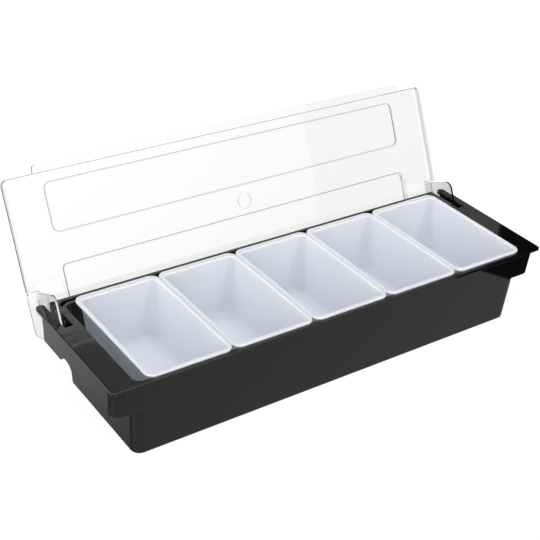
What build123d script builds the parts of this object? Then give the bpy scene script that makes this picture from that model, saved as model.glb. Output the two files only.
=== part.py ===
from build123d import *
import os
from math import cos, radians, sin

# Bar garnish tray: a black moulded tray that holds five lift-out pint inserts in a row,
# under a clear lid that swings on two ears at the back.
# Millimetres. X runs along the tray, Y from the front to the back, Z up.
# The origin is on the underside of the tub, in the middle of the tray's length and width.

os.makedirs("parts", exist_ok=True)

# Driving dimensions of the tray
tray_length = 495.0
tray_width = 151.0
tray_height = 82.5
flange_thickness = 3.4
flange_corner_radius = 3.0
edge_round = 0.9
floor_thickness = 3.0
wall = 2.6
rear_band = 3.6

# The opening in the top face, measured in from the tray's edges
opening_end_margin = 24.0
opening_front_margin = 5.4
opening_rear_margin = 11.0
opening_corner_radius = 8.0

# How far the tub's outer walls draw in from top to bottom
end_draft = 3.4
front_draft = 5.5
rear_draft = 6.8
tub_bottom_radius = 9.2
tub_bottom_round = 2.4
tub_floor_round = 2.0

# The groove along the back of the top face
groove_width = 3.3
groove_depth = 3.6
groove_turn = 48.0
rear_bar_thickness = 2.6
rear_bar_width = 15.0

# The open slots that the lid's ears hang in, and the strips beside them
strip_width = 8.9
strip_end_radius = 4.2
slot_width = 7.7
slot_length = 43.6
slot_front_relief = 1.7

# The skirts below the ends of the flange
skirt_depth = 31.4
skirt_wall = 2.5
skirt_inset = 1.8
skirt_draft = 0.8
skirt_corner_radius = 11.0
skirt_rear_setback = 12.0
scallop_count = 4
scallop_front_margin = 13.5
scallop_rear_margin = 45.5
scallop_radius = 12.6
scallop_rise = 6.2

# The apron below the rear edge, with its ribs
apron_drop = 35.7
apron_wall = 2.4
apron_setback = 0.2
apron_draft = 0.4
rib_thickness = 2.2
rib_count = 6
rib_end_margin = 35.9
rib_foot_drop = 25.0
cheek_depth = 12.0

# The hinge: its axis is set back from the tray's rear edge and down from its top face
hinge_setback = 14.3
hinge_drop = 15.6
pin_radius = 3.0
pin_length = 3.2
pin_clearance = 0.08
lug_radius = 7.2
lug_thickness = 2.8
ear_side_gap = 1.0

# The lid
lid_opening_angle = 115.69
lid_overall_inset = 0.7
lid_plate = 2.0
lid_wall = 1.8
lid_wall_depth = 7.4
lid_seat_gap = 0.27
lid_front_setback = 0.87
lid_rear_setback = 0.34
lid_front_radius = 5.5
lid_rear_radius = 8.0
lid_edge_round = 0.8
ear_thickness = 2.3
ear_depth = 44.8
ear_corner_radius = 8.0
ear_slot_clearance = 0.36
ear_rear_margin = 1.0
grip_end_margin = 29.8
grip_reach = 8.1
grip_thickness = 2.0
grip_corner_radius = 4.0

# The lid's raised panels, set from its front and rear edges and from its ears
upper_panel_margin = 39.8
upper_panel_start = 10.2
upper_panel_length = 47.0
upper_panel_radius = 6.5
upper_panel_step = 1.0
lower_panel_rear_margin = 9.39
lower_panel_length = 52.5
lower_panel_radius = 5.0
lower_panel_step = 2.0
ear_pad_step = 0.5
ear_pad_radius = 2.0
ear_pad_width = 28.6
ear_pad_gap = 3.0
ear_pad_setback = 9.9
ear_pad_rear_margin = 7.99
gate_radius = 8.0
gate_step = 0.6
gate_offset = 1.05

# The inserts
insert_count = 5
row_slack = 11.0
insert_gap = 0.4
insert_end_gap = 1.05
insert_front_setback = 3.2
insert_rear_setback = 9.8
insert_height = 67.0
insert_wall = 1.6
insert_floor = 2.0
rim_height = 2.4
rim_overhang = 2.6
rim_corner_radius = 10.0
rim_round = 1.0
rim_lip = 1.3
rim_skin = 1.2
insert_draft = 4.9
insert_top_radius = 8.4
insert_bottom_radius = 19.0
insert_foot_round = 9.0

# Every cut runs this far past the face it opens
overrun = 2.0

# Worked out from the dimensions above
half_length = tray_length / 2
front_edge = -tray_width / 2
rear_edge = tray_width / 2
flange_underside = tray_height - flange_thickness
opening_half = half_length - opening_end_margin
opening_front = front_edge + opening_front_margin
opening_rear = rear_edge - opening_rear_margin
skirt_bottom = tray_height - skirt_depth
skirt_rear = rear_edge - skirt_rear_setback
strip_inner = half_length - strip_width
slot_inner = strip_inner - slot_width
slot_front = rear_edge - slot_length
hinge_y = rear_edge - hinge_setback
hinge_z = tray_height - hinge_drop


def between(low, high, height):
    """A size of the tub's outside at one height, from its sizes at the bottom and the top."""
    return low + (high - low) * height / tray_height


def outline(plane, half, front, rear, radius):
    """A rectangle with round corners, from its half length and its front and rear lines."""
    with BuildSketch(plane) as sketch:
        with Locations((0, (front + rear) / 2)):
            RectangleRounded(2 * half, rear - front, radius)
    return sketch.sketch


def tub_front(height):
    """The line of the tub's front face at one height."""
    return between(opening_front - wall + front_draft, opening_front - wall, height)


def tub_rear(height):
    """The line of the tub's rear face at one height."""
    return between(opening_rear + rear_band - rear_draft, opening_rear + rear_band, height)


def tub_outline(height):
    """The outside of the tub at one height."""
    half = between(opening_half + wall - end_draft, opening_half + wall, height)
    radius = between(tub_bottom_radius, opening_corner_radius + rear_band, height)
    return outline(Plane.XY.offset(height), half, tub_front(height), tub_rear(height), radius)


def skirt_outline(height, inward, rear):
    """The outside of the skirts at one height, or the inside with the wall as inward."""
    share = (height - skirt_bottom) / skirt_depth
    half = half_length - skirt_inset - skirt_draft * (1 - share) - inward
    radius = skirt_corner_radius - inward
    return outline(Plane.XY.offset(height), half, tub_front(height) + inward, rear, radius)


def side_profile(points, half_thickness, offset=0):
    """A plate with its outline in the Y-Z plane, centred on a place along X."""
    with BuildPart() as plate:
        with BuildSketch(Plane.YZ.offset(offset)):
            with BuildLine():
                Polyline(*points, close=True)
            make_face()
        extrude(amount=half_thickness, both=True)
    return plate.part


# The space between the tub's ends and the skirts, and behind the skirts
with BuildPart() as skirt_space:
    loft([skirt_outline(skirt_bottom, skirt_wall, rear_edge + overrun),
          skirt_outline(flange_underside, skirt_wall, rear_edge + overrun)], ruled=True)
    with BuildSketch(Plane.XY.offset(skirt_bottom)):
        with Locations((0, (skirt_rear + rear_edge + overrun) / 2)):
            Rectangle(tray_length, rear_edge + overrun - skirt_rear)
    extrude(amount=flange_underside - skirt_bottom)
    loft([tub_outline(skirt_bottom), tub_outline(flange_underside)], ruled=True,
         mode=Mode.SUBTRACT)

# The hollow of the tub, with a rounded floor edge
with BuildPart() as tub_hollow:
    low_half = between(opening_half - end_draft, opening_half, floor_thickness)
    low_front = tub_front(floor_thickness) + wall
    low_rear = tub_rear(floor_thickness) - wall
    loft([outline(Plane.XY.offset(floor_thickness), low_half, low_front, low_rear,
                  tub_bottom_radius - wall),
          outline(Plane.XY.offset(tray_height), opening_half, opening_front, opening_rear,
                  opening_corner_radius)], ruled=True)
    fillet(tub_hollow.edges().group_by(Axis.Z)[0], tub_floor_round)

# The tray: tub, skirts, flange, rear apron with ribs, hinge lugs
with BuildPart() as tray:
    loft([tub_outline(0), tub_outline(skirt_bottom)], ruled=True)
    fillet(tray.edges().group_by(Axis.Z)[0], tub_bottom_round)
    loft([skirt_outline(skirt_bottom, 0, rear_edge),
          skirt_outline(flange_underside, 0, rear_edge)], ruled=True)
    add(skirt_space.part, mode=Mode.SUBTRACT)

    # Flange, with its strips and slots at the rear of each end
    with BuildSketch(Plane.XY.offset(flange_underside)) as flange_sketch:
        Rectangle(tray_length, tray_width)
        fillet(flange_sketch.vertices().group_by(Axis.Y)[0], flange_corner_radius)
        fillet(flange_sketch.vertices().group_by(Axis.Y)[-1], strip_end_radius)
        for side in (-1, 1):
            with Locations((side * (slot_inner + strip_inner) / 2, (slot_front + rear_edge) / 2)):
                Rectangle(slot_width, slot_length, mode=Mode.SUBTRACT)
        strip_corners = flange_sketch.vertices().filter_by_position(
            Axis.Y, rear_edge - flange_corner_radius / 2, rear_edge + flange_corner_radius)
        strip_corners = [v for v in strip_corners if abs(abs(v.X) - strip_inner) < edge_round]
        fillet(strip_corners, strip_end_radius)
    extrude(amount=flange_thickness)

    # Bar under the groove and the apron below the rear edge
    with BuildSketch(Plane.XY.offset(flange_underside - rear_bar_thickness)):
        with Locations((0, rear_edge - apron_setback - rear_bar_width / 2)):
            Rectangle(2 * slot_inner, rear_bar_width)
    extrude(amount=rear_bar_thickness)
    apron_top = flange_underside
    apron_foot = tray_height - apron_drop
    apron_face = rear_edge - apron_setback
    add(side_profile([(apron_face, apron_top), (apron_face - apron_draft, apron_foot),
                      (apron_face - apron_draft - apron_wall, apron_foot),
                      (apron_face - 2 * apron_draft - apron_wall, apron_top)], slot_inner))

    # Ribs between the tub's rear wall and the apron, and cheeks beside the slots
    rib_root = tub_rear(skirt_bottom) - wall / 2
    rib_pitch = 2 * (slot_inner - rib_end_margin) / (rib_count - 1)
    for number in range(rib_count):
        place = (number - (rib_count - 1) / 2) * rib_pitch
        add(side_profile([(rib_root, apron_top), (apron_face - apron_wall, apron_top),
                          (apron_face - apron_draft - apron_wall / 2, apron_foot + apron_wall),
                          (rib_root, apron_foot + apron_drop - rib_foot_drop)],
                         rib_thickness / 2, place))
    for side in (-1, 1):
        add(side_profile([(slot_front, apron_top), (apron_face - apron_wall, apron_top),
                          (apron_face - apron_wall, apron_top - cheek_depth),
                          (slot_front + cheek_depth, apron_top - cheek_depth)],
                         rib_thickness / 2, side * (slot_inner - rib_thickness / 2)))

    # Hinge lugs, hung under the strips against the skirts
    for side in (-1, 1):
        with BuildSketch(Plane.YZ.offset(side * (strip_inner + lug_thickness / 2))):
            with Locations((hinge_y, hinge_z)):
                Circle(lug_radius)
            with Locations((hinge_y, (hinge_z + flange_underside) / 2)):
                Rectangle(2 * lug_radius, flange_underside - hinge_z)
        extrude(amount=lug_thickness / 2, both=True)

    # Cuts: the hollow, the groove, the slots' relieved front ends and the hinge holes
    add(tub_hollow.part, mode=Mode.SUBTRACT)
    groove_radius = opening_corner_radius + rear_band + groove_width / 2
    corner_x = opening_half - opening_corner_radius
    corner_y = opening_rear - opening_corner_radius
    with BuildSketch(Plane.XY.offset(tray_height - groove_depth)):
        with BuildLine():
            for radius in (groove_radius - groove_width / 2, groove_radius + groove_width / 2):
                CenterArc((corner_x, corner_y), radius, 90 - groove_turn, groove_turn)
                Line((corner_x, corner_y + radius), (-corner_x, corner_y + radius))
                CenterArc((-corner_x, corner_y), radius, 90, groove_turn)
            for angle, middle in ((90 - groove_turn, corner_x), (90 + groove_turn, -corner_x)):
                across = Vector(cos(radians(angle)), sin(radians(angle)))
                Line(Vector(middle, corner_y) + across * (groove_radius - groove_width / 2),
                     Vector(middle, corner_y) + across * (groove_radius + groove_width / 2))
        make_face()
        for angle, middle in ((90 - groove_turn, corner_x), (90 + groove_turn, -corner_x)):
            with Locations((middle + groove_radius * cos(radians(angle)),
                            corner_y + groove_radius * sin(radians(angle)))):
                Circle(groove_width / 2)
    extrude(amount=groove_depth + overrun, mode=Mode.SUBTRACT)
    for side in (-1, 1):
        middle = side * (slot_inner + strip_inner) / 2
        add(side_profile([(slot_front, tray_height), (slot_front - slot_front_relief,
                                                      flange_underside),
                          (slot_front + overrun, flange_underside),
                          (slot_front + overrun, tray_height)], slot_width / 2, middle),
            mode=Mode.SUBTRACT)
        with Locations(Plane.YZ.offset(side * strip_inner)):
            with Locations((hinge_y, hinge_z)):
                Cylinder(pin_radius + pin_clearance, 2 * lug_thickness + overrun,
                         mode=Mode.SUBTRACT)

    # Finger scallops in the lower edge of each skirt
    scallop_start = rear_edge - scallop_rear_margin
    scallop_pitch = (scallop_start - front_edge - scallop_front_margin) / scallop_count
    scallop_z = skirt_bottom + scallop_rise - scallop_radius
    for side in (-1, 1):
        with BuildSketch(Plane.YZ.offset(side * half_length)):
            for number in range(scallop_count):
                with Locations((scallop_start - (number + 1 / 2) * scallop_pitch, scallop_z)):
                    Circle(scallop_radius)
        extrude(amount=skirt_inset + skirt_draft + skirt_wall + overrun, both=True,
                mode=Mode.SUBTRACT)

    fillet(tray.edges().group_by(Axis.Z)[-1], edge_round)

tray.part.label = "tray"
export_step(tray.part, "parts/tray.step")

# The lid is drawn closed, over the tray, and then turned open about the hinge
lid_top = tray_height + lid_seat_gap + lid_wall_depth
lid_half = half_length - lid_overall_inset
lid_front = front_edge + lid_front_setback
lid_rear = rear_edge - lid_rear_setback
lid_foot = lid_top - lid_wall_depth
wall_end = slot_front + ear_slot_clearance
ear_outer = strip_inner - ear_side_gap
ear_inner = ear_outer - ear_thickness
upper_panel_half = lid_half - upper_panel_margin
lower_panel_half = ear_outer - ear_pad_width - ear_pad_gap
lower_panel_start = lid_rear - lid_front - lower_panel_rear_margin - lower_panel_length
ear_pad_start = lower_panel_start + ear_pad_setback
ear_pad_length = lid_rear - lid_front - ear_pad_start - ear_pad_rear_margin
gate_from_front = (upper_panel_start + upper_panel_length + lower_panel_start) / 2 + gate_offset


def raised_panel(middle, half, start, length, radius, step):
    """Raises a shallow panel in the lid's plate, which keeps its thickness there."""
    with BuildSketch(Plane.XY.offset(lid_top - lid_plate)) as pad:
        with Locations((middle, lid_front + start + length / 2)):
            RectangleRounded(2 * half, length, radius)
    extrude(pad.sketch, amount=lid_plate + step)
    with BuildSketch(Plane.XY.offset(lid_top - lid_plate)) as pocket:
        with Locations((middle, lid_front + start + length / 2)):
            RectangleRounded(2 * (half - step), length - 2 * step, radius - step / 2)
    extrude(pocket.sketch, amount=step, mode=Mode.SUBTRACT)


with BuildPart() as closed_lid:
    # Plate, with its front wall, side walls and the returns that run in to the ears
    with BuildSketch(Plane.XY.offset(lid_foot)) as wall_sketch:
        with Locations((0, (lid_front + wall_end) / 2)):
            Rectangle(2 * lid_half, wall_end - lid_front)
        fillet(wall_sketch.vertices().group_by(Axis.Y)[0], lid_front_radius)
        with BuildSketch(mode=Mode.SUBTRACT) as inner_sketch:
            with Locations((0, (lid_front + wall_end) / 2)):
                Rectangle(2 * (lid_half - lid_wall), wall_end - lid_front - 2 * lid_wall)
            fillet(inner_sketch.vertices().group_by(Axis.Y)[0], lid_front_radius - lid_wall)
        with Locations((0, wall_end)):
            Rectangle(2 * ear_inner, 2 * (lid_wall + overrun), mode=Mode.SUBTRACT)
    extrude(amount=lid_wall_depth)
    with BuildSketch(Plane.XY.offset(lid_top - lid_plate)) as plate_sketch:
        with Locations((0, (lid_front + lid_rear) / 2)):
            Rectangle(2 * lid_half, lid_rear - lid_front)
        fillet(plate_sketch.vertices().group_by(Axis.Y)[0], lid_front_radius)
        fillet(plate_sketch.vertices().group_by(Axis.Y)[-1], lid_rear_radius)
    extrude(amount=lid_plate)
    fillet(closed_lid.edges().group_by(Axis.Z)[-1], lid_edge_round)

    # Raised panels, the pads beside the ears and the round mark of the moulding gate
    raised_panel(0, upper_panel_half, upper_panel_start, upper_panel_length,
                 upper_panel_radius, upper_panel_step)
    raised_panel(0, lower_panel_half, lower_panel_start, lower_panel_length,
                 lower_panel_radius, lower_panel_step)
    for side in (-1, 1):
        raised_panel(side * (ear_outer - ear_pad_width / 2), ear_pad_width / 2, ear_pad_start,
                     ear_pad_length, ear_pad_radius, ear_pad_step)
    with BuildSketch(Plane.XY.offset(lid_top - gate_step)):
        with Locations((0, lid_front + gate_from_front)):
            Circle(gate_radius)
    extrude(amount=gate_step, mode=Mode.SUBTRACT)
    with BuildSketch(Plane.XY.offset(lid_top - lid_plate - gate_step)):
        with Locations((0, lid_front + gate_from_front)):
            Circle(gate_radius)
    extrude(amount=gate_step)

    # Grip along the free edge of the front wall
    with BuildSketch(Plane.XY.offset(lid_foot)) as grip_sketch:
        with Locations((0, lid_front - (grip_reach - lid_wall) / 2)):
            Rectangle(2 * (lid_half - grip_end_margin), grip_reach + lid_wall)
        fillet(grip_sketch.vertices().group_by(Axis.Y)[0], grip_corner_radius)
    extrude(amount=grip_thickness)

    # Ears with their hinge pins
    for side in (-1, 1):
        with BuildSketch(Plane.YZ.offset(side * (ear_outer - ear_thickness / 2))) as ear_sketch:
            with Locations(((wall_end + lid_rear - ear_rear_margin) / 2,
                            lid_top - (ear_depth + lid_plate) / 2)):
                Rectangle(lid_rear - ear_rear_margin - wall_end, ear_depth - lid_plate)
            fillet(ear_sketch.vertices().group_by(Axis.Y)[0], ear_corner_radius)
        extrude(amount=ear_thickness / 2, both=True)
        with BuildSketch(Plane.YZ.offset(side * ear_outer)):
            with Locations((hinge_y, hinge_z)):
                Circle(pin_radius)
        extrude(amount=side * pin_length)

# The lid as it stands open, leaning back on the apron's lower edge
with BuildPart() as lid:
    add(closed_lid.part.rotate(Axis((0, hinge_y, hinge_z), (1, 0, 0)), -lid_opening_angle))

lid.part.label = "lid"
export_step(lid.part, "parts/lid.step")

# One insert, drawn in the middle of the tray: a tapered bucket with a turned-down rim
insert_pitch = (2 * opening_half - row_slack) / insert_count
rim_half = (insert_pitch - insert_gap) / 2
rim_front = front_edge + insert_front_setback
rim_rear = rear_edge - insert_rear_setback
rim_top = tray_height + rim_height
insert_bottom = rim_top - insert_height


def insert_outline(height, inward):
    """The outside of an insert's bucket at one height, or the inside with inward as wall."""
    share = (rim_top - height) / insert_height
    inset = rim_overhang + insert_draft * share + inward
    radius = insert_top_radius + (insert_bottom_radius - insert_top_radius) * share
    return outline(Plane.XY.offset(height), rim_half - inset, rim_front + inset,
                   rim_rear - inset, radius - inward)


with BuildPart() as insert_hollow:
    loft([insert_outline(insert_bottom + insert_floor, insert_wall),
          insert_outline(rim_top, insert_wall)], ruled=True)
    fillet(insert_hollow.edges().group_by(Axis.Z)[0], insert_foot_round)

with BuildPart() as insert_bucket:
    loft([insert_outline(insert_bottom, 0), insert_outline(rim_top, 0)], ruled=True)
    fillet(insert_bucket.edges().group_by(Axis.Z)[0], insert_foot_round + insert_wall)

with BuildPart() as insert:
    extrude(outline(Plane.XY.offset(tray_height), rim_half, rim_front, rim_rear,
                    rim_corner_radius), amount=rim_height)
    extrude(outline(Plane.XY.offset(tray_height), rim_half - rim_lip, rim_front + rim_lip,
                    rim_rear - rim_lip, rim_corner_radius - rim_lip),
            amount=rim_height - rim_skin, mode=Mode.SUBTRACT)
    add(insert_bucket.part)
    add(insert_hollow.part, mode=Mode.SUBTRACT)
    fillet(insert.edges().group_by(Axis.Z)[-1], rim_round)

# The row of inserts, pushed up to the right-hand end of the opening
last_centre = opening_half - insert_end_gap - rim_half
for number in range(1, insert_count + 1):
    centre = last_centre - (insert_count - number) * insert_pitch
    with BuildPart() as placed_insert:
        with Locations((centre, 0)):
            add(insert.part)
    placed_insert.part.label = f"insert_{number}"
    export_step(placed_insert.part, f"parts/insert_{number}.step")
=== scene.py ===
import math

import bpy
from mathutils import Matrix, Vector


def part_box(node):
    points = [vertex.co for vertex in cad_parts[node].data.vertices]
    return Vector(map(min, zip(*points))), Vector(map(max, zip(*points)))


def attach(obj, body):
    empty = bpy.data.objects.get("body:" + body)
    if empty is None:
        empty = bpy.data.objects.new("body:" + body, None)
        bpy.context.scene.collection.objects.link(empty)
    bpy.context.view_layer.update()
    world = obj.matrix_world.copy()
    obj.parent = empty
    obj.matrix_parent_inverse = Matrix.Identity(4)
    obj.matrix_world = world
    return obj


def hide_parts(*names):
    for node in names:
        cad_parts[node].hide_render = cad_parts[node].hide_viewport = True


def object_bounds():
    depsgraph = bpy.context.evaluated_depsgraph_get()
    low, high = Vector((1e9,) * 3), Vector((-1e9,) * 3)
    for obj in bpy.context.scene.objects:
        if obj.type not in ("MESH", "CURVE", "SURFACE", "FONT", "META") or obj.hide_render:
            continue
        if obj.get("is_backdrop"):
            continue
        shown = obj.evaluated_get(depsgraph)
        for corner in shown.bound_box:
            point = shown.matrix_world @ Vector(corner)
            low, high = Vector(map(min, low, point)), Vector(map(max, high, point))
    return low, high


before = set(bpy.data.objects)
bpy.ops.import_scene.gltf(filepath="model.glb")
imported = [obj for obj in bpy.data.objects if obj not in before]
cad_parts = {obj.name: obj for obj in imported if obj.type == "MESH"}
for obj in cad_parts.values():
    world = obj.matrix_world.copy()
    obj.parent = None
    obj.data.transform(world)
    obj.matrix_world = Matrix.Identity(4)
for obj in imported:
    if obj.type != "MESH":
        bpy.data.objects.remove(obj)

bl_info = {
    "name": "Bar garnish tray",
    "version": (1, 0, 0),
    "blender": (4, 5, 0),
    "location": "3D View > Sidebar > Garnish Tray",
    "description": "Dresses a black garnish tray with white lift-out inserts under a clear lid",
    "category": "Add Mesh",
}

MM = 0.001
INSERT_NODES = [name for name in sorted(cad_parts) if name.startswith("insert_")]

# The open lid's plate: its normal towards the tray, its run from its top edge down, and how far
# along that run its top edge lies
PLATE_NORMAL = (0.0, -0.9012, 0.4335)
PLATE_RUN = (0.0, -0.4335, -0.9012)
PLATE_START = -222.65 * MM
# Its raised panels, along whose outlines a grey line of shade is painted, in mm: middle below the
# top edge, half length, half width and corner radius
PANELS = ((33.7, 207.0, 23.5, 6.5), (114.15, 206.0, 26.25, 5.0))
# How squarely skin has to face with the plate to be left clear, and below what it takes the full
# painted grey shade that stands in for the reflections and bent light at the lid's steps, edges
# and ears
SQUARE_TO_PLATE = 0.995
TURNED_FROM_PLATE = 0.97

# The soft light of the room: each patch's strength setting and its share, where it lies, and the
# angles from there, in degrees, up to which it is full and past which it is gone
PATCHES = (
    ("top_light", 1.0, (-0.42, -0.42, 0.8), 42, 78),
    ("front_light", 1.0, (-0.25, -0.9, 0.15), 42, 58),
    ("dark_corner", -1.0, (-0.45, 0.75, 0.5), 22, 40),
    ("left_light", 1.0, (-1.0, 0.1, 0.35), 25, 40),
    ("low_light", 1.0, (-0.42, 0.87, -0.26), 12, 30),
    ("low_light", -0.5, (-0.25, 0.43, -0.87), 15, 35))
# Corners of the black card in mm
CARD = ((226, -174, 0), (555, 249, 0), (555, 249, 500), (329, -42, 600))


# Colours and nodes
def linear(colour):
    """An sRGB hex colour, such as "#F4F6FD", as linear red, green, blue and alpha."""
    channels = [int(colour[i:i + 2], 16) / 255 for i in (1, 3, 5)]
    curve = [c / 12.92 if c <= 0.04045 else ((c + 0.055) / 1.055) ** 2.4 for c in channels]
    return curve + [1.0]


def add_node(tree, kind, settings=None, inputs=None):
    """Adds a node. An input is a plain value or the socket that feeds it."""
    node = tree.nodes.new(kind)
    for name, value in (settings or {}).items():
        setattr(node, name, value)
    for key, value in (inputs or {}).items():
        if isinstance(value, bpy.types.NodeSocket):
            tree.links.new(value, node.inputs[key])
        else:
            node.inputs[key].default_value = value
    return node


def new_material(name):
    """An empty node material, its tree and its output node."""
    material = bpy.data.materials.new(name)
    material.use_nodes = True
    material.node_tree.nodes.clear()
    output = material.node_tree.nodes.new("ShaderNodeOutputMaterial")
    return material, material.node_tree, output


# Materials
def moulded_black_abs(finish):
    """ABS, injection moulded in a polished steel mould.

    Its black is almost without colour of its own, so what shows is the room in the gloss.
    The skin of a large moulding is never quite flat: a slow waviness some centimetres long
    and a finer ripple of the cooling plastic bend the reflections a little. Every edge of the
    mould is broken by a fraction of a millimetre, and there the reflections run together.
    """
    material, tree, output = new_material("black_abs_polished_moulding")
    place = add_node(tree, "ShaderNodeTexCoord").outputs["Object"]
    wave = add_node(tree, "ShaderNodeTexNoise", inputs={
        "Vector": place, "Scale": 1 / finish.wave_length, "Detail": 2.0})
    ripple = add_node(tree, "ShaderNodeTexNoise", inputs={
        "Vector": place, "Scale": 1 / finish.ripple_length, "Detail": 3.0})
    edges = add_node(tree, "ShaderNodeBevel", {"samples": 6}, {"Radius": finish.edge_round})
    slow = add_node(tree, "ShaderNodeBump", inputs={
        "Strength": 1.0, "Distance": finish.wave_height, "Height": wave.outputs["Fac"],
        "Normal": edges.outputs["Normal"]})
    fine = add_node(tree, "ShaderNodeBump", inputs={
        "Strength": 1.0, "Distance": finish.ripple_height, "Height": ripple.outputs["Fac"],
        "Normal": slow.outputs["Normal"]})
    gloss = add_node(tree, "ShaderNodeMapRange", inputs={
        "Value": ripple.outputs["Fac"], "From Min": 0.3, "From Max": 0.7,
        "To Min": finish.roughness_low, "To Max": finish.roughness_high})
    shader = add_node(tree, "ShaderNodeBsdfPrincipled", inputs={
        "Base Color": linear(finish.colour), "IOR": 1.54,
        "Roughness": gloss.outputs["Result"], "Normal": fine.outputs["Normal"]})
    tree.links.new(shader.outputs["BSDF"], output.inputs["Surface"])
    return material


def moulded_white_polypropylene(finish):
    """Polypropylene, injection moulded white.

    It is a soft, slightly waxy plastic: light goes a little way into it, so its edges glow and
    its hollows fill with a cool light, under a satin skin.
    """
    material, tree, output = new_material("white_polypropylene_moulding")
    place = add_node(tree, "ShaderNodeTexCoord").outputs["Object"]
    ripple = add_node(tree, "ShaderNodeTexNoise", inputs={
        "Vector": place, "Scale": 1 / finish.ripple_length, "Detail": 2.0})
    bump = add_node(tree, "ShaderNodeBump", inputs={
        "Strength": 1.0, "Distance": finish.ripple_height, "Height": ripple.outputs["Fac"]})
    shader = add_node(tree, "ShaderNodeBsdfPrincipled", inputs={
        "Base Color": linear(finish.colour), "IOR": 1.49, "Roughness": finish.roughness,
        "Subsurface Weight": finish.glow, "Subsurface Radius": (1.0, 1.0, 1.0),
        "Subsurface Scale": finish.glow_depth, "Normal": bump.outputs["Normal"]})
    tree.links.new(shader.outputs["BSDF"], output.inputs["Surface"])
    return material


def outline_shade_mask(tree, panel, width):
    """Whether a point of the lid's plate lies on a panel's rounded outline, as 1 or 0: where the
    grey shade of the panel's step is painted.
    """
    middle, half_length, half_width, radius = (value * MM for value in panel)
    place = add_node(tree, "ShaderNodeTexCoord").outputs["Object"]
    across = add_node(tree, "ShaderNodeSeparateXYZ", inputs={"Vector": place}).outputs["X"]
    run = add_node(tree, "ShaderNodeVectorMath", {"operation": "DOT_PRODUCT"}, {
        0: place, 1: PLATE_RUN}).outputs["Value"]
    below = add_node(tree, "ShaderNodeMath", {"operation": "SUBTRACT"}, {
        0: run, 1: PLATE_START + middle}).outputs["Value"]
    offset = add_node(tree, "ShaderNodeCombineXYZ", inputs={
        "X": across, "Y": below}).outputs["Vector"]
    for operation, amount in (("ABSOLUTE", (0, 0, 0)),
                              ("SUBTRACT", (half_length - radius, half_width - radius, 0)),
                              ("MAXIMUM", (0, 0, 0))):
        offset = add_node(tree, "ShaderNodeVectorMath", {"operation": operation}, {
            0: offset, 1: amount}).outputs["Vector"]
    distance = add_node(tree, "ShaderNodeVectorMath", {"operation": "DISTANCE"}, {
        0: offset, 1: (0, 0, 0)}).outputs["Value"]
    return add_node(tree, "ShaderNodeMath", {"operation": "COMPARE"}, {
        0: distance, 1: radius, 2: width / 2}).outputs["Value"]


def moulded_clear_san(finish):
    """SAN, the clear stiff styrene plastic, injection moulded in a polished mould.

    It is water clear with a grey breath in it. The steps of its panels, its edges and its ears
    turn from the plate, and there grey shade is painted into its colour in place of the
    reflections and bent light that darken such faces;
    a grey line is also painted along each panel's rounded outline as the shade of its step.
    """
    material, tree, output = new_material("clear_san_polished_moulding")
    # Painted shade: grey mixed into the base colour where the skin turns from the plate and along
    # the panels' outlines
    facing = add_node(tree, "ShaderNodeVectorMath", {"operation": "DOT_PRODUCT"}, {
        0: add_node(tree, "ShaderNodeTexCoord").outputs["Normal"], 1: PLATE_NORMAL})
    turned_face_shade = add_node(tree, "ShaderNodeMapRange", inputs={
        "Value": add_node(tree, "ShaderNodeMath", {"operation": "ABSOLUTE"}, {
            0: facing.outputs["Value"]}).outputs["Value"],
        "From Min": TURNED_FROM_PLATE, "From Max": SQUARE_TO_PLATE, "To Min": 1.0,
        "To Max": 0.0})
    grey = turned_face_shade.outputs["Result"]
    for panel in PANELS:
        grey = add_node(tree, "ShaderNodeMath", {"operation": "MAXIMUM"}, {
            0: grey, 1: outline_shade_mask(tree, panel, finish.step_shade_width)}).outputs["Value"]
    # The clear tint, greyed by the painted shade
    tint = add_node(tree, "ShaderNodeMix", {"data_type": "RGBA"})
    tint.inputs[6].default_value = linear(finish.colour)
    tint.inputs[7].default_value = linear(finish.edge_shade_colour)
    tree.links.new(grey, tint.inputs[0])
    place = add_node(tree, "ShaderNodeTexCoord").outputs["Object"]
    wave = add_node(tree, "ShaderNodeTexNoise", inputs={
        "Vector": place, "Scale": 1 / finish.wave_length, "Detail": 1.0})
    bump = add_node(tree, "ShaderNodeBump", inputs={
        "Strength": 1.0, "Distance": finish.wave_height, "Height": wave.outputs["Fac"]})
    shader = add_node(tree, "ShaderNodeBsdfPrincipled", inputs={
        "Base Color": tint.outputs[2], "IOR": 1.57, "Roughness": finish.roughness,
        "Transmission Weight": 1.0, "Normal": bump.outputs["Normal"]})
    tree.links.new(shader.outputs["BSDF"], output.inputs["Surface"])
    return material


def lit_acrylic(studio):
    """The floor: a sheet of opal acrylic lit from below, so that shadows on it stay faint."""
    material, tree, output = new_material("opal_acrylic_lit_from_below")
    skin = add_node(tree, "ShaderNodeBsdfDiffuse", inputs={
        "Color": linear(studio.floor_colour), "Roughness": 1.0})
    glow = add_node(tree, "ShaderNodeEmission", inputs={
        "Color": linear("#FFFFFF"), "Strength": studio.floor_glow})
    both = add_node(tree, "ShaderNodeAddShader", inputs={
        0: skin.outputs["BSDF"], 1: glow.outputs["Emission"]})
    tree.links.new(both.outputs["Shader"], output.inputs["Surface"])
    return material


def black_card():
    """The black card beside the set, which the glossy black plastic mirrors."""
    material, tree, output = new_material("matt_black_card")
    shader = add_node(tree, "ShaderNodeBsdfDiffuse", inputs={"Color": linear("#050505")})
    tree.links.new(shader.outputs["BSDF"], output.inputs["Surface"])
    return material


# Meshes
def mesh_object(name, vertices, faces=()):
    """A new object in the scene, at the origin, from points in metres."""
    mesh = bpy.data.meshes.new(name)
    mesh.from_pydata([tuple(v) for v in vertices], [], [tuple(f) for f in faces])
    piece = bpy.data.objects.new(name, mesh)
    bpy.context.scene.collection.objects.link(piece)
    return piece


def dress(node, material):
    """Gives a CAD node its material."""
    mesh = node.data
    mesh.materials.clear()
    mesh.materials.append(material)


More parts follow.
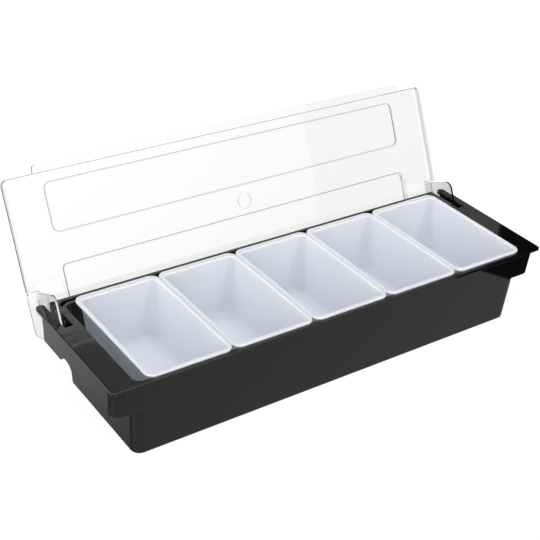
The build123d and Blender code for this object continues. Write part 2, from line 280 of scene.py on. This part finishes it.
def bucket_tree():
    """Geometry nodes that turn a profile into a bucket with a rounded rectangular plan.

    Each point of the profile holds how far in its ring lies from the plan's edge, the ring's
    corner radius and its height, as X, Y and Z.
    """
    tree = bpy.data.node_groups.new("Moulded bucket", "GeometryNodeTree")
    face = tree.interface
    face.new_socket("Geometry", in_out="OUTPUT", socket_type="NodeSocketGeometry")
    face.new_socket("Profile", in_out="INPUT", socket_type="NodeSocketGeometry")
    for name in ("Half Length", "Half Width"):
        socket = face.new_socket(name, in_out="INPUT", socket_type="NodeSocketFloat")
        socket.subtype = "DISTANCE"
    face.new_socket("Centre", in_out="INPUT", socket_type="NodeSocketVector")
    for name in ("Rim Overhang", "Rear Reach"):
        socket = face.new_socket(name, in_out="INPUT", socket_type="NodeSocketFloat")
        socket.subtype = "DISTANCE"
    face.new_socket("Corner Steps", in_out="INPUT", socket_type="NodeSocketInt")
    face.new_socket("Material", in_out="INPUT", socket_type="NodeSocketMaterial")
    source = add_node(tree, "NodeGroupInput").outputs
    target = add_node(tree, "NodeGroupOutput")

    def maths(operation, first, second=0.0):
        node = add_node(tree, "ShaderNodeMath", {"operation": operation},
                        {0: first, 1: second})
        return node.outputs["Value"]

    # One row of the grid for each profile point, one column for each point of a ring
    count = add_node(tree, "GeometryNodeAttributeDomainSize", {"component": "MESH"},
                     {"Geometry": source["Profile"]}).outputs["Point Count"]
    per_corner = maths("ADD", source["Corner Steps"], 1.0)
    ring = maths("MULTIPLY", per_corner, 4.0)
    columns = maths("ADD", ring, 1.0)
    grid = add_node(tree, "GeometryNodeMeshGrid", inputs={
        "Vertices X": count, "Vertices Y": columns})
    index = add_node(tree, "GeometryNodeInputIndex").outputs["Index"]
    row = maths("FLOOR", maths("DIVIDE", maths("ADD", index, 0.5), columns))
    column = maths("SUBTRACT", index, maths("MULTIPLY", row, columns))
    step = maths("MODULO", column, ring)
    corner = maths("FLOOR", maths("DIVIDE", maths("ADD", step, 0.5), per_corner))
    share = maths("DIVIDE", maths("SUBTRACT", step, maths("MULTIPLY", corner, per_corner)),
                  source["Corner Steps"])

    # The ring's point: its corner's centre and the turn about it
    sample = add_node(tree, "GeometryNodeSampleIndex", {
        "data_type": "FLOAT_VECTOR", "domain": "POINT"}, {
        "Geometry": source["Profile"],
        "Value": add_node(tree, "GeometryNodeInputPosition").outputs["Position"],
        "Index": row})
    point = add_node(tree, "ShaderNodeSeparateXYZ", inputs={"Vector": sample.outputs["Value"]})
    inset, radius, height = point.outputs["X"], point.outputs["Y"], point.outputs["Z"]
    quarter = math.pi / 2
    turn = maths("MULTIPLY", maths("ADD", corner, share), quarter)
    diagonal = maths("ADD", maths("MULTIPLY", corner, quarter), quarter / 2)
    place = []
    for trig, half in (("COSINE", "Half Length"), ("SINE", "Half Width")):
        reach = maths("SUBTRACT", maths("SUBTRACT", source[half], inset), radius)
        side = maths("SIGN", maths(trig, diagonal))
        place.append(maths("ADD", maths("MULTIPLY", side, reach),
                           maths("MULTIPLY", radius, maths(trig, turn))))

    # The rim reaches further back than the bucket that it stands out from
    rim_share = maths("MAXIMUM", maths("SUBTRACT", 1.0, maths(
        "DIVIDE", inset, source["Rim Overhang"])), 0.0)
    at_rear = maths("GREATER_THAN", maths("SINE", diagonal), 0.0)
    reach = maths("MULTIPLY", maths("MULTIPLY", rim_share, at_rear), source["Rear Reach"])
    local = add_node(tree, "ShaderNodeCombineXYZ", inputs={
        "X": place[0], "Y": maths("ADD", place[1], reach), "Z": height})
    moved = add_node(tree, "ShaderNodeVectorMath", {"operation": "ADD"}, {
        0: local.outputs["Vector"], 1: source["Centre"]})
    shaped = add_node(tree, "GeometryNodeSetPosition", inputs={
        "Geometry": grid.outputs["Mesh"], "Position": moved.outputs["Vector"]})
    closed = add_node(tree, "GeometryNodeMergeByDistance", inputs={
        "Geometry": shaped.outputs["Geometry"], "Distance": 0.01 * MM})
    smooth = add_node(tree, "GeometryNodeSetShadeSmooth", inputs={
        "Geometry": closed.outputs["Geometry"], "Shade Smooth": True})
    real = add_node(tree, "GeometryNodeRealizeInstances", inputs={
        "Geometry": smooth.outputs["Geometry"]})
    painted = add_node(tree, "GeometryNodeSetMaterial", inputs={
        "Geometry": real.outputs["Geometry"], "Material": source["Material"]})
    tree.links.new(painted.outputs["Geometry"], target.inputs["Geometry"])
    return tree


def run_nodes(piece, tree, values):
    """Runs a geometry node tree on a piece and keeps its result as a plain mesh."""
    modifier = piece.modifiers.new("Shape", "NODES")
    modifier.node_group = tree
    for socket in tree.interface.items_tree:
        if socket.in_out == "INPUT" and socket.name in values:
            modifier[socket.identifier] = values[socket.name]
    bpy.context.view_layer.update()
    graph = bpy.context.evaluated_depsgraph_get()
    mesh = bpy.data.meshes.new_from_object(piece.evaluated_get(graph))
    piece.modifiers.remove(modifier)
    piece.data = mesh
    mesh.name = piece.name
    return piece


def arc(centre, radius, start, end, steps):
    """Points of an arc, from one angle to another in degrees."""
    angles = [math.radians(start + (end - start) * i / steps) for i in range(steps + 1)]
    return [(centre[0] + radius * math.cos(a), centre[1] + radius * math.sin(a)) for a in angles]


# Sizes and colours that a user would change
class TrayFinish(bpy.types.PropertyGroup):
    colour: bpy.props.StringProperty(name="Black", default="#0B0B0C",
                                     description="Colour of the black plastic, as sRGB hex")
    wave_length: bpy.props.FloatProperty(
        name="Wave length", default=45 * MM, subtype="DISTANCE",
        description="Length of the slow waves in the moulded skin")
    wave_height: bpy.props.FloatProperty(
        name="Wave height", default=0.015 * MM, subtype="DISTANCE", precision=6,
        description="Height of the slow waves")
    ripple_length: bpy.props.FloatProperty(
        name="Ripple length", default=3 * MM, subtype="DISTANCE",
        description="Length of the fine ripple of the cooling plastic")
    ripple_height: bpy.props.FloatProperty(
        name="Ripple height", default=0.001 * MM, subtype="DISTANCE", precision=6,
        description="Height of the fine ripple")
    edge_round: bpy.props.FloatProperty(name="Broken edge", default=0.5 * MM,
                                        subtype="DISTANCE", precision=5,
                                        description="Radius at which sharp edges are broken")
    roughness_low: bpy.props.FloatProperty(name="Least roughness", default=0.05,
                                           description="Roughness where the skin is glossiest")
    roughness_high: bpy.props.FloatProperty(name="Most roughness", default=0.08,
                                            description="Roughness where the skin is dullest")


class LidFinish(bpy.types.PropertyGroup):
    colour: bpy.props.StringProperty(name="Clear tint", default="#F4F5F5",
                                     description="Tint of the clear plastic, as sRGB hex")
    # The grey painted as shade on the lid's steps, edges, ears and along its panels' outlines
    edge_shade_colour: bpy.props.StringProperty(name="Edge tint", default="#D0D3D5",
                                          description="Tint of its steps and edges")
    # Width of the grey line painted along each panel's outline as the shade of its rounded step
    step_shade_width: bpy.props.FloatProperty(name="Step width", default=1.4 * MM,
                                        subtype="DISTANCE",
                                        description="Width of the panels' rounded steps")
    roughness: bpy.props.FloatProperty(name="Roughness", default=0.0,
                                       description="Roughness of the polished skin")
    wave_length: bpy.props.FloatProperty(
        name="Wave length", default=35 * MM, subtype="DISTANCE",
        description="Length of the slow waves in the lid's skin")
    wave_height: bpy.props.FloatProperty(
        name="Wave height", default=0.02 * MM, subtype="DISTANCE", precision=6,
        description="Height of the slow waves")


class InsertShape(bpy.types.PropertyGroup):
    colour: bpy.props.StringProperty(name="White", default="#E7EAF7",
                                     description="Colour of the white plastic, as sRGB hex")
    roughness: bpy.props.FloatProperty(name="Roughness", default=0.22,
                                       description="Roughness of the satin skin")
    glow: bpy.props.FloatProperty(name="Glow", default=1.0,
                                  description="Share of the light that goes into the plastic")
    glow_depth: bpy.props.FloatProperty(
        name="Glow depth", default=6 * MM, subtype="DISTANCE",
        description="How far the light spreads in the plastic")
    ripple_length: bpy.props.FloatProperty(
        name="Ripple length", default=25 * MM, subtype="DISTANCE",
        description="Length of the waves in the moulded walls")
    ripple_height: bpy.props.FloatProperty(
        name="Ripple height", default=0.04 * MM, subtype="DISTANCE", precision=6,
        description="Height of the waves in the moulded walls")
    wall: bpy.props.FloatProperty(name="Wall", default=1.6 * MM, subtype="DISTANCE",
                                  description="Thickness of the bucket's wall")
    floor: bpy.props.FloatProperty(name="Floor", default=2 * MM, subtype="DISTANCE",
                                   description="Thickness of the bucket's floor")
    rim_height: bpy.props.FloatProperty(name="Rim height", default=2.4 * MM,
                                        subtype="DISTANCE",
                                        description="Height of the turned-down rim")
    rim_overhang: bpy.props.FloatProperty(
        name="Rim overhang", default=2.6 * MM, subtype="DISTANCE",
        description="How far the rim stands out from the bucket")
    rear_reach: bpy.props.FloatProperty(
        name="Rear reach", default=3.2 * MM, subtype="DISTANCE",
        description="How much further the rim stands out at the rear")
    rim_radius: bpy.props.FloatProperty(name="Rim corner radius", default=9 * MM,
                                        subtype="DISTANCE",
                                        description="Radius of the rim's corners in plan")
    rim_round: bpy.props.FloatProperty(name="Rim round", default=1 * MM, subtype="DISTANCE",
                                       description="Radius of the rim's edges")
    rim_lip: bpy.props.FloatProperty(name="Rim lip", default=1.3 * MM, subtype="DISTANCE",
                                     description="Thickness of the rim's turned-down lip")
    rim_skin: bpy.props.FloatProperty(name="Rim skin", default=1.2 * MM, subtype="DISTANCE",
                                      description="Thickness of the rim's top")
    draft: bpy.props.FloatProperty(name="Draft", default=4.9 * MM, subtype="DISTANCE",
                                   description="How far the walls draw in down to the floor")
    mouth_radius: bpy.props.FloatProperty(
        name="Mouth radius", default=7.4 * MM, subtype="DISTANCE",
        description="Radius of the bucket's corners at its mouth, outside")
    foot_radius: bpy.props.FloatProperty(
        name="Foot radius", default=19 * MM, subtype="DISTANCE",
        description="Radius of the bucket's corners at its foot, outside")
    foot_round: bpy.props.FloatProperty(name="Foot round", default=12 * MM,
                                        subtype="DISTANCE",
                                        description="Radius between wall and floor, inside")
    corner_steps: bpy.props.IntProperty(name="Corner steps", default=14,
                                        description="Faces round each corner of a bucket")


class StudioSetup(bpy.types.PropertyGroup):
    camera_place: bpy.props.FloatVectorProperty(
        name="Camera place", default=(-0.591026, -0.740493, 0.657688), subtype="XYZ",
        precision=6, description="Where the camera stands")
    azimuth: bpy.props.FloatProperty(name="Azimuth", default=math.radians(36.5727),
                                     subtype="ANGLE",
                                     description="Turn of the camera's look from +Y to +X")
    elevation: bpy.props.FloatProperty(name="Elevation", default=math.radians(31.1563),
                                       subtype="ANGLE",
                                       description="How far the camera looks down")
    roll: bpy.props.FloatProperty(name="Roll", default=math.radians(-3.9026),
                                  subtype="ANGLE", description="Tilt of the picture")
    lens: bpy.props.FloatProperty(name="Lens", default=76.23,
                                  description="Focal length on a 36 mm wide picture")
    floor_colour: bpy.props.StringProperty(name="Floor", default="#646464",
                                           description="Colour of the floor, as sRGB hex")
    floor_glow: bpy.props.FloatProperty(name="Floor glow", default=0.9,
                                        description="Light that comes up through the floor")
    floor_size: bpy.props.FloatProperty(name="Floor size", default=30.0,
                                        subtype="DISTANCE",
                                        description="Side of the square floor")
    room_light: bpy.props.FloatProperty(name="Room light", default=0.42,
                                        description="Brightness of the grey room all round")
    top_light: bpy.props.FloatProperty(name="Top light", default=1.1,
                                       description="Brightness of the soft light overhead")
    dark_corner: bpy.props.FloatProperty(name="Dark corner", default=0.38,
                                         description="How much darker the room is at the left")
    left_light: bpy.props.FloatProperty(name="Left light", default=0.7,
                                        description="Brightness of the soft light at the left")
    low_light: bpy.props.FloatProperty(name="Low light", default=0.6,
                                       description="Brightness low down at the left")
    front_light: bpy.props.FloatProperty(name="Front light", default=0.42,
                                         description="Brightness of the soft light in front")


# Operators, one for each piece or group of like pieces
class GARNISH_OT_tray(bpy.types.Operator):
    """Dress the tray in its polished black plastic"""
    bl_idname = "garnish.tray"
    bl_label = "Tray"

    def execute(self, context):
        dress(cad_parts["tray"], moulded_black_abs(context.scene.garnish_tray))
        return {"FINISHED"}


def bucket_profile(shape, top, bottom, half):
    """The profile of an insert, from the middle of its underside, round the rim, to the middle
    of its inner floor. Each point is the distance in from the rim, the corner radius, the height.
    """
    height = top - bottom
    steps = 10

    def wall_at(level, inward):
        share = (top - level) / height
        inset = shape.rim_overhang + shape.draft * share + inward
        radius = shape.mouth_radius + (shape.foot_radius - shape.mouth_radius) * share - inward
        return inset, radius

    def foot(level, inward, round_radius):
        inset, radius = wall_at(level + round_radius, inward)
        points = []
        for step in range(steps + 1):
            angle = math.pi / 2 * step / steps
            drawn_in = round_radius * (1 - math.cos(angle))
            points.append((inset + drawn_in, radius - drawn_in,
                           level + round_radius * (1 - math.sin(angle))))
        return points

    rim_foot = top - shape.rim_height
    under = rim_foot + shape.rim_height - shape.rim_skin
    outside = foot(bottom, 0.0, shape.foot_round + shape.wall)
    inside = foot(bottom + shape.floor, shape.wall, shape.foot_round)
    points = [(half, 0.0, bottom)] + outside[::-1]
    inset, radius = wall_at(under, 0.0)
    points.append((inset, radius, under))
    lip = shape.rim_lip
    points.append((lip, shape.rim_radius - lip, under))
    points.append((lip, shape.rim_radius - lip, rim_foot))
    points.append((0.0, shape.rim_radius, rim_foot))
    turn = shape.rim_round
    for across, up in arc((turn, top - turn), turn, 180, 90, 6):
        points.append((across, shape.rim_radius - across, up))
    inset, radius = wall_at(top, shape.wall)
    for across, up in arc((inset - turn, top - turn), turn, 90, 0, 6):
        points.append((across, radius + (inset - across), up))
    points += inside + [(half, 0.0, bottom + shape.floor)]
    return points


class GARNISH_OT_inserts(bpy.types.Operator):
    """Mould the five white inserts, each in the place of its plain one"""
    bl_idname = "garnish.inserts"
    bl_label = "Inserts"

    def execute(self, context):
        shape = context.scene.garnish_inserts
        material = moulded_white_polypropylene(shape)
        tree = bucket_tree()
        for node in INSERT_NODES:
            low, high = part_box(node)
            half = (high - low) / 2
            centre = (low + high) / 2
            profile = bucket_profile(shape, high.z, low.z, half.x)
            piece = mesh_object(f"{node}_bucket", profile)
            run_nodes(piece, tree, {
                "Half Length": half.x, "Half Width": half.y,
                "Centre": (centre.x, centre.y, 0.0),
                "Rim Overhang": shape.rim_overhang, "Rear Reach": shape.rear_reach,
                "Corner Steps": shape.corner_steps, "Material": material})
            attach(piece, node)
            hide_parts(node)
        return {"FINISHED"}


class GARNISH_OT_lid(bpy.types.Operator):
    """Dress the lid in its clear plastic"""
    bl_idname = "garnish.lid"
    bl_label = "Lid"

    def execute(self, context):
        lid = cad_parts["lid"]
        dress(lid, moulded_clear_san(context.scene.garnish_lid))
        # Light goes through the clear lid, so it darkens nothing behind it
        lid.visible_shadow = False
        lid.visible_diffuse = False
        return {"FINISHED"}


class GARNISH_OT_stage(bpy.types.Operator):
    """Set up the pale floor, the soft light and the camera"""
    bl_idname = "garnish.stage"
    bl_label = "Stage"

    def execute(self, context):
        studio = context.scene.garnish_studio
        self.floor(studio)
        self.card()
        self.light(context, studio)
        self.camera(context, studio)
        return {"FINISHED"}

    def floor(self, studio):
        half = studio.floor_size / 2
        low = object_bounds()[0][2]
        floor = mesh_object("floor", [(-half, -half, low), (half, -half, low),
                                      (half, half, low), (-half, half, low)], [(0, 1, 2, 3)])
        floor.data.materials.append(lit_acrylic(studio))
        floor.visible_glossy = False
        floor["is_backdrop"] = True

    def card(self):
        """A black card at the right, seen only in reflections."""
        card = mesh_object("black_card", [Vector(corner) * MM for corner in CARD],
                           [(0, 1, 2, 3)])
        card.data.materials.append(black_card())
        card.visible_camera = False
        card.visible_diffuse = False
        card.visible_transmission = False
        card.visible_shadow = False
        card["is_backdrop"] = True

    def light(self, context, studio):
        world = bpy.data.worlds.new("Soft studio")
        context.scene.world = world
        world.use_nodes = True
        tree = world.node_tree
        tree.nodes.clear()
        direction = add_node(tree, "ShaderNodeTexCoord").outputs["Generated"]
        total = studio.room_light
        for setting, share, axis, inner, outer in PATCHES:
            facing = add_node(tree, "ShaderNodeVectorMath", {"operation": "DOT_PRODUCT"}, {
                0: direction, 1: Vector(axis).normalized()}).outputs["Value"]
            soft = add_node(tree, "ShaderNodeMapRange", {
                "interpolation_type": "SMOOTHSTEP", "label": setting}, {
                "Value": facing, "From Min": math.cos(math.radians(outer)),
                "From Max": math.cos(math.radians(inner)), "To Min": 0.0,
                "To Max": share * getattr(studio, setting)}).outputs["Result"]
            total = add_node(tree, "ShaderNodeMath", {"operation": "ADD"}, {
                0: total, 1: soft}).outputs["Value"]
        # Past the floor's edge the backdrop is as white as the floor, also through the clear lid
        ray = add_node(tree, "ShaderNodeLightPath").outputs
        seen = add_node(tree, "ShaderNodeMath", {"operation": "MAXIMUM"}, {
            0: ray["Is Camera Ray"], 1: ray["Is Transmission Ray"]}).outputs["Value"]
        strength = add_node(tree, "ShaderNodeMath", {"operation": "MAXIMUM"}, {
            0: total, 1: seen}).outputs["Value"]
        background = add_node(tree, "ShaderNodeBackground", inputs={
            "Color": linear("#FFFFFF"), "Strength": strength})
        output = add_node(tree, "ShaderNodeOutputWorld")
        tree.links.new(background.outputs["Background"], output.inputs["Surface"])
        context.scene.view_settings.view_transform = "Standard"

    def camera(self, context, studio):
        """The photograph's camera: right, up and back are the axes of Blender's camera."""
        azimuth, elevation = studio.azimuth, studio.elevation
        look = Vector((math.sin(azimuth) * math.cos(elevation),
                       math.cos(azimuth) * math.cos(elevation), -math.sin(elevation)))
        level = look.cross(Vector((0, 0, 1))).normalized()
        down = look.cross(level)
        right = level * math.cos(studio.roll) + down * math.sin(studio.roll)
        down = down * math.cos(studio.roll) - level * math.sin(studio.roll)
        data = bpy.data.cameras.new("camera")
        data.lens = studio.lens
        data.sensor_width = 36.0
        data.clip_start = 0.01
        camera = bpy.data.objects.new("camera", data)
        context.scene.collection.objects.link(camera)
        turn = Matrix((right, -down, -look)).transposed().to_4x4()
        camera.matrix_world = Matrix.Translation(studio.camera_place) @ turn
        context.scene.camera = camera


class GARNISH_PT_panel(bpy.types.Panel):
    """The sidebar's list of steps and settings"""
    bl_idname = "GARNISH_PT_panel"
    bl_label = "Garnish Tray"
    bl_space_type = "VIEW_3D"
    bl_region_type = "UI"
    bl_category = "Garnish Tray"

    def draw(self, context):
        for operator, _ in STEPS:
            self.layout.operator(operator.bl_idname)
        for name, group in GROUPS.items():
            box = self.layout.box()
            for key in group.__annotations__:
                box.prop(getattr(context.scene, name), key)


STEPS = [(GARNISH_OT_stage, "stage"), (GARNISH_OT_tray, "tray"),
         (GARNISH_OT_inserts, "inserts"), (GARNISH_OT_lid, "lid")]
GROUPS = {"garnish_tray": TrayFinish, "garnish_lid": LidFinish,
          "garnish_inserts": InsertShape, "garnish_studio": StudioSetup}
CLASSES = [*GROUPS.values(), *[operator for operator, _ in STEPS], GARNISH_PT_panel]


def register():
    for cls in CLASSES:
        bpy.utils.register_class(cls)
    for name, group in GROUPS.items():
        setattr(bpy.types.Scene, name, bpy.props.PointerProperty(type=group))


def unregister():
    for name in GROUPS:
        delattr(bpy.types.Scene, name)
    for cls in reversed(CLASSES):
        bpy.utils.unregister_class(cls)


def main():
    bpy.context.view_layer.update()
    register()
    for _, name in STEPS:
        getattr(bpy.ops.garnish, name)()


if __name__ == "__main__":
    main()
